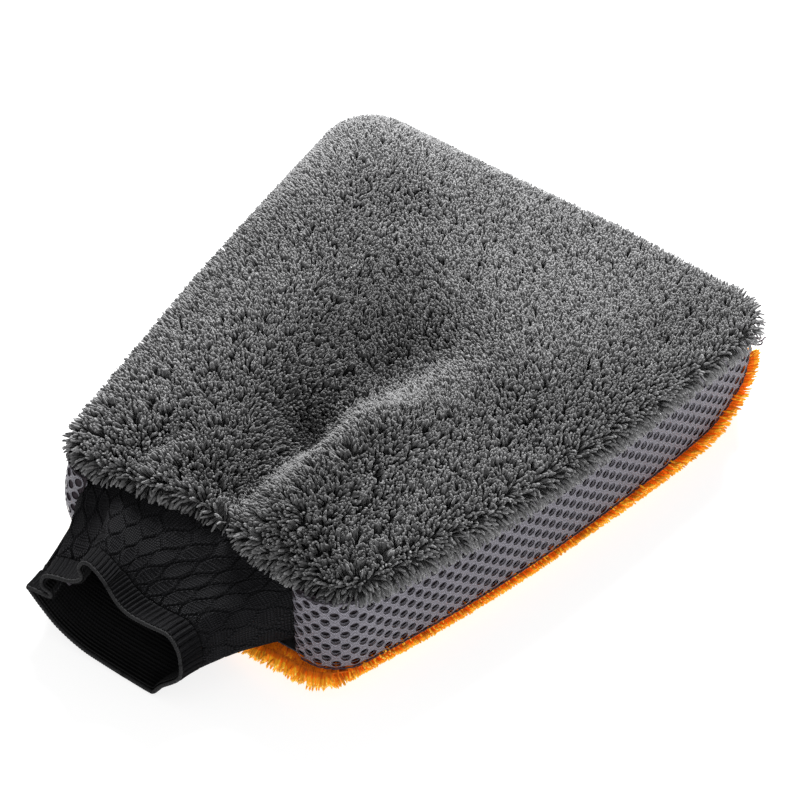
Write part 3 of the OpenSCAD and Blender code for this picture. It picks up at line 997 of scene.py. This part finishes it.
# x, height above the surface and turn round the root in degrees
MOUTH_EDGE = (
    (-53, 17, 184), (-46, 12, 212), (-37.5, 7, 229), (-26, 3.4, 242), (-14, 2.2, 260), (-2, 1.6, 274),
    (7, 1.3, 291), (10, 2, 305), (13, 6, 318), (21.5, 14.5, 344), (21.5, 22.5, 363),
    (19, 28, 383), (14, 31.5, 403), (5, 31, 419), (-4, 31, 434), (-10, 33.5, 445),
    (-16, 39, 451), (-20.5, 42, 456), (-25, 43.5, 461), (-28, 42, 466), (-29.5, 38.5, 471),
    (-28, 35.5, 476), (-30, 33, 482), (-34, 31, 491), (-40, 29.5, 503), (-45, 27.5, 518),
    (-47, 24, 529), (-46, 21, 536), (-42, 20, 538), (-44, 19, 540), (-50, 18.5, 541),
    (-53, 18, 543))


def squared(value):
    return np.sign(value) * np.abs(value) ** (2 / ROOT_SQUARE)


def smooth_loop(points, steps=40):
    """A closed curve through points: each span is eased by the points before and after it."""
    a, b, c, d = (np.roll(points, k, axis=0)[:, None] for k in (1, 0, -1, -2))
    t = np.linspace(0, 1, steps, endpoint=False)[None, :, None]
    spans = b + (c - a) * t / 2 + (2 * a - 5 * b + 4 * c - d) * t ** 2 / 2
    return (spans + (3 * b - a - 3 * c + d) * t ** 3 / 2).reshape(-1, points.shape[1])


loop = np.array(MOUTH_EDGE, float)
cosines = np.stack([loop[:, 0], loop[:, 1], np.cos(np.radians(loop[:, 2])),
                    np.sin(np.radians(loop[:, 2]))], 1)
curve = smooth_loop(cosines)
mouth_loop = curve[:, :2]
turn = np.arctan2(curve[:, 3], curve[:, 2])
root_loop = np.stack([ROOT_MIDDLE[0] + ROOT_HALF[0] * squared(np.cos(turn)),
                      ROOT_MIDDLE[1] + ROOT_HALF[1] * squared(np.sin(turn))], 1)


def lap(points):
    step = np.linalg.norm(np.roll(points, -1, axis=0) - points, axis=1)
    return np.concatenate([[0], np.cumsum(step)]) / step.sum(), step.sum()


mouth_share, MOUTH_ROUND = lap(mouth_loop)
root_share, ROOT_ROUND = lap(root_loop)
loop_share = (mouth_share + root_share) / 2


def on_cuff(around, along, out=0.0):
    """A place on the cuff: around and along from the bag to the mouth, 0 to 1, and outward."""
    def bare(share):
        share = share % 1
        root_x, root_z, mouth_x, mouth_z = (
            np.interp(share, loop_share, np.append(line, line[0]))
            for line in (*root_loop.T, *mouth_loop.T))
        high = ramp(root_z, 9, 37)
        sink = ramp(along, 0.3, 1.0)
        sink = 1 - sink * sink * (3 - 2 * sink)
        keep = high * np.clip(1 - along, 0, 1) ** FLARE + (1 - high) * sink
        keep_x = np.clip(1 - along, 0, 1) ** FLARE
        return mouth_x + (root_x - mouth_x) * keep_x, mouth_z + (root_z - mouth_z) * keep

    x, z = bare(around)
    (x1, z1), (x2, z2) = bare(around - 0.002), bare(around + 0.002)
    size = np.maximum(np.hypot(x2 - x1, z2 - z1), 1e-6)
    x, z = x + out * (z2 - z1) / size, z - out * (x2 - x1) / size
    y = CUFF_ROOT_Y - along * CUFF_LENGTH + along * MOUTH_LEAN * (z - 1.6)
    return x, y, z


print("cuff is", round(ROOT_ROUND), "mm round at the bag and", round(MOUTH_ROUND), "at its mouth")

# %% [markdown]
# ## A closed shell of knit
#
# Knit has a face, a back and two edges where one turns into the other. So a shell is rolled
# from one sheet that runs out along the face and home along the back. The back is never
# seen and has only a few rows.


# %% Shells of knit
def cuff_shell(columns, rows, start, stop, face, back, back_rows=4):
    """A closed tube of knit: the face side rises to face(around, along), and back is its back."""
    def place(around, way):
        facing = way * (rows + back_rows) <= rows + 0.5
        share = np.where(facing, way * (rows + back_rows) / rows,
                         (1 - way) * (rows + back_rows) / back_rows)
        along = start + (stop - start) * np.clip(share, 0, 1)
        closing = way > 1 - 1e-6
        depth = np.where(facing | closing, face(around, along), back)
        return on_cuff(around, along, depth)
    return tube_grid(columns, rows + back_rows, place)


print("cuff is", CUFF_LENGTH, "mm long from the bag to its mouth")

# %% [markdown]
# ## The knitted tube
#
# The knitting pattern is a lattice of long leaves. Their outlines are grooves, and the
# leaves are filled by turns with fine ribs and with a flat knit. A texture could only
# pretend to be that deep, so it is in the mesh, and the single stitches are in the material.
# The tube also runs on a little way into the bag, under the pile's edge.

# %% The knitted tube
LEAVES_ROUND = 28
TUCKED_IN = -0.34
LEAF_LENGTH = 19.0
LEAF_SWING, GROOVE_DEPTH, CORD_HEIGHT = 0.235, 0.8, 0.3
rib_start = 1 - RIB_LENGTH / CUFF_LENGTH


def leaf_relief(around, along):
    length = along * CUFF_LENGTH
    swing = np.cos(2 * math.pi * length / LEAF_LENGTH)
    swing = LEAF_SWING * np.sign(swing) * np.abs(swing) ** 0.8
    column = around * LEAVES_ROUND
    width = ROOT_ROUND / LEAVES_ROUND * 0.87
    first_line = np.abs((column - swing + 0.5) % 1 - 0.5) * width
    second_line = np.abs((column - 0.5 + swing + 0.5) % 1 - 0.5) * width
    nearest = np.minimum(first_line, second_line)
    groove = -GROOVE_DEPTH * np.exp(-(nearest / 0.5) ** 2)
    cord = CORD_HEIGHT * np.exp(-((nearest - 1.1) / 0.5) ** 2)
    ribbed = ((column - swing) % 1) < ((0.5 - 2 * swing) % 1)
    ribs = 0.22 * np.sin(2 * math.pi * length / 1.5) * np.clip((nearest - 1.3) / 0.6, 0, 1)
    link = -0.35 * np.exp(-((length - rib_start * CUFF_LENGTH + 0.6) / 0.5) ** 2)
    return groove + cord + np.where(ribbed, ribs, 0) + link


knit = cuff_shell(640, 130, TUCKED_IN, rib_start - 0.004, leaf_relief, -0.9)
knit_tube = finish_piece(mesh_in_metres(knit), "cuff_knit_outer", [knit_material],
                         ["cuff_tube"])

# %% [markdown]
# ## The ribbed band
#
# At the mouth the cuff is ribbed lengthways, so that it can stretch over a hand and close
# again. The ribs are rounded ridges with narrow gaps, and they fade out at both edges of the
# band, where it meets the tube and the rolled edge. A bump would leave the band's outline
# smooth at the mouth, so the ribs are in the mesh too.

# %% The ribbed band
RIBS_ROUND = 96


def rib_relief(around, along):
    fade = ramp(along, rib_start, rib_start + 0.02) * ramp(along, 1, 0.98)
    rib = np.abs(np.sin(math.pi * RIBS_ROUND * around)) ** 0.8
    return (rib - 0.6) * fade


band = cuff_shell(1024, 26, rib_start, 0.985, rib_relief, -0.9)
rib_band = finish_piece(mesh_in_metres(band), "cuff_rib_band_knit", [knit_material],
                        ["cuff_rib_band"])

# %% [markdown]
# ## The cuff's inside
#
# The inside of the knit is seen through the open mouth. There the stitches form rows that
# run round it. The outer shell's own back could carry them, but it is coarse to save faces.
# So a second shell lies just inside the first, with those rows as low ridges.

# %% The cuff's inner knit
INNER_ROW = 1.45


def inner_relief(around, along):
    row = np.abs(np.sin(math.pi * along * CUFF_LENGTH / INNER_ROW))
    return -1.5 - 0.7 * (1 - row)


inner = cuff_shell(240, 200, 0.01, 0.985, inner_relief, -1.2)
bmesh.ops.recalc_face_normals(inner, faces=inner.faces)
inner_knit = finish_piece(mesh_in_metres(inner), "cuff_knit_inner", [inner_knit_material],
                          ["cuff_tube"])

# %% [markdown]
# ## Rolled edge and elastics
#
# A knitted edge rolls up on itself into a thin cord, and inside the band four elastic yarns
# hold the mouth closed. All of them are rings round the cuff, so one function sweeps a small
# circle round the cuff's own shape. The rolled edge gets a slight bump for each stitch.

# %% Rolled edge and elastics
ELASTICS = 4


def cuff_ring(columns, around_ring, along, out, radius, bumps=0):
    def place(around, ring):
        turn = ring * 2 * math.pi
        swell = radius * (1 + 0.12 * np.sin(2 * math.pi * bumps * around))
        return on_cuff(around, along + np.sin(turn) * swell / CUFF_LENGTH, out + np.cos(turn) * swell)
    return tube_grid(columns, around_ring, place)


rolled = cuff_ring(1200, 10, 0.992, -0.55, 0.72, bumps=200)
rolled_edge = finish_piece(mesh_in_metres(rolled), "cuff_rolled_rim",
                           [rolled_material], ["cuff_rolled_edge"])
for number in range(1, ELASTICS + 1):
    ring = cuff_ring(360, 6, rib_start + number * 0.04, -1.0, 0.16)
    finish_piece(mesh_in_metres(ring), f"cuff_elastic_{number}",
                 [elastic_material], ["cuff_elastic_yarns"])

# %% [markdown]
# ## Seams
#
# The panels are sewn to the wall, and the cuff to the bag, with a heavy dark thread. A curve
# with a bevel would make a thread too, but here a rolled grid follows the path, because its
# mesh is then finished in place. A small hop for each stitch keeps it from looking like wire.


# %% Threads
def cord_along(path, radius, sides=8):
    """A round thread along a path of places in mm."""
    path = np.asarray(path)
    ahead = unit(np.gradient(path, axis=0))
    side = unit(np.cross(ahead, (0.0, 0.0, 1.0)) + 1e-6)
    above = np.cross(side, ahead)
    steps = np.linspace(0, 1, len(path))

    def place(ring, way):
        turn = ring * 2 * math.pi
        thick = radius * np.clip(np.minimum(way, 1 - way) * len(path), 0.05, 1)
        at, across, high = ([np.interp(way, steps, line) for line in lines.T]
                            for lines in (path, side, above))
        return tuple(at[k] + thick * (np.cos(turn) * across[k] + np.sin(turn) * high[k])
                     for k in range(3))
    bm = tube_grid(sides, len(path) - 1, place)
    bmesh.ops.holes_fill(bm, edges=[e for e in bm.edges if e.is_boundary], sides=sides)
    return bm


s = np.linspace(3, WALL_LENGTH - 1, 1400)
hop = 0.25 * np.abs(np.sin(s * math.pi / 3.2))
top_path = np.stack(on_wall(s, WALL_TOP + 0 * s, 0.6 + hop), 1)
foot_z = on_wall(s, 0 * s, 0 * s)[2]
foot_path = np.stack(on_wall(s, foot_z + 1.0, 0.9 + hop), 1)
finish_piece(mesh_in_metres(cord_along(top_path, 0.35, 6)), "upper_seam_stitches",
             [thread_material], ["upper_seam_thread"])
finish_piece(mesh_in_metres(cord_along(foot_path, 0.3, 6)), "lower_seam_stitches",
             [thread_material], ["lower_seam_thread"])
seam_turn = np.linspace(0, 1, 600)
root_path = np.stack(on_cuff(seam_turn, 0.03 + 0 * seam_turn, -2.4 - 0.2 * np.sin(seam_turn * 400)), 1)
finish_piece(mesh_in_metres(cord_along(root_path, 0.5, 6)), "cuff_seam_stitches",
             [thread_material], ["cuff_seam_thread"])

# %% [markdown]
# ## Thread tails
#
# An overlocker leaves a short chain of thread where it runs off the cloth. Six loose ends
# stick out at the lifted finger corner, each with its own length and curl. Each is a short
# path of two mixed waves, swept by the same function as the seams.

# %% Thread tails at the finger corner
TAILS = 6
TAILS_AT = 0.361
corner_at = np.interp(WALL_LENGTH * TAILS_AT, line_s, np.arange(len(line_s))).astype(int)
tail_u, tail_v = line_u[corner_at], line_v[corner_at]
tail_rng = np.random.default_rng(3)
way = np.linspace(0, 1, 24)
for number in range(1, TAILS + 1):
    reach = tail_rng.uniform(5, 8)
    tail_x, tail_y = on_bag(tail_u - 0.01 * number, tail_v, 0.5 + reach * way)
    wave_up = tail_rng.uniform(-1.5, 1.0) * way + 0.8 * np.sin(way * 7 + number)
    tail = np.stack([tail_x + 0.9 * np.sin(way * 9 + number), tail_y, 29 + 0.4 * number + wave_up], 1)
    finish_piece(mesh_in_metres(cord_along(tail, 0.32, 6)), f"corner_thread_tail_{number}",
                 [tail_material], ["lower_seam_thread"])

# %% [markdown]
# ## The closing seam
#
# The cuff is knitted flat and closed into a tube by an overlocked seam, which stands up as a
# thick ridge on its inside. Single loops of thread are too small to see in the dark mouth, so
# it is one thick thread from the bag to the mouth.

# %% The cuff's closing seam
CLOSING_AT = 0.86
way = np.linspace(0.1, 0.97, 160)
ridge = np.stack(on_cuff(CLOSING_AT + 0 * way, way, -2.9 + 0.25 * np.sin(way * 250)), 1)
finish_piece(mesh_in_metres(cord_along(ridge, 0.8)), "cuff_overlock",
             [thread_material], ["cuff_closing_seam"])

# %% [markdown]
# ## Linings
#
# Two sheets of plain cloth make the pocket for the hand. They aren't seen from outside. They
# reuse the panels' own shapes, a little further in, so they stay clear of the plush.

# %% Linings
LINING_THICK = 0.4
for name, sheet_at, node in (
        ("upper_lining_cloth", lambda u, v: upper_ground(u, v, 1.5, -4.2), "upper_lining"),
        ("lower_lining_cloth", lambda u, v: lower_ground(u, v, 2.2, -4.2), "lower_lining")):
    lining = sheet_grid(70, 80)
    flat_places = coordinates(lining.verts)
    move_to(lining.verts, *sheet_at(flat_places[:, 0], flat_places[:, 1]))
    cloth = finish_piece(mesh_in_metres(lining), name, [lining_material], [node])
    give_thickness(cloth, LINING_THICK)

# %% [markdown]
# ## The cloths as they were cut
#
# The panels are taken to have been cut to the tapered outline with a seam allowance, and
# the wall as one long strip. The cuff's cut is taken to be about the mean of its girths at
# the bag and at the mouth. The wall and the cuff are declared as stretched, though three of
# those five pieces measure smaller than their cut.

# %% [markdown]
# ## Floor, lights and world
#
# A studio floor would be lit until it is as white as the world behind it, so this one gives
# off a little light of its own. The key light is high behind the finger end: it rakes over
# the pile and lets the folds throw soft shadows. A weak fill opens the side wall.

# %% Floor, lights and world
floor_bm = bmesh.new()
bmesh.ops.create_grid(floor_bm, x_segments=1, y_segments=1, size=3.0)
floor_mesh = bpy.data.meshes.new("floor")
floor_bm.to_mesh(floor_mesh)
floor_bm.free()
floor = bpy.data.objects.new("floor", floor_mesh)
floor.data.materials.append(principled("floor", (0.35, 0.35, 0.35), 0.9, Emission_Strength=0.8,
                                       Emission_Color=(1, 1, 1, 1)))
bpy.context.scene.collection.objects.link(floor)


def area_light(name, at, aim, size, watts):
    light = bpy.data.lights.new(name, "AREA")
    light.shape = "DISK"
    light.size = size
    light.energy = watts
    lamp = bpy.data.objects.new(name, light)
    lamp.location = at
    lamp.rotation_euler = (Vector(aim) - Vector(at)).to_track_quat("-Z", "Y").to_euler()
    bpy.context.scene.collection.objects.link(lamp)


area_light("key_light", (-0.45, 1.0, 0.95), (0, 0.02, 0.03), 0.6, 62)
area_light("fill_light", (1.3, -0.9, 0.45), (0.03, 0, 0.02), 1.0, 9)
world = bpy.data.worlds.new("studio")
world.use_nodes = True
world.node_tree.nodes["Background"].inputs["Color"].default_value = (1, 1, 1, 1)
world.node_tree.nodes["Background"].inputs["Strength"].default_value = 0.5
bpy.context.scene.world = world
bpy.context.scene.view_settings.view_transform = "Standard"
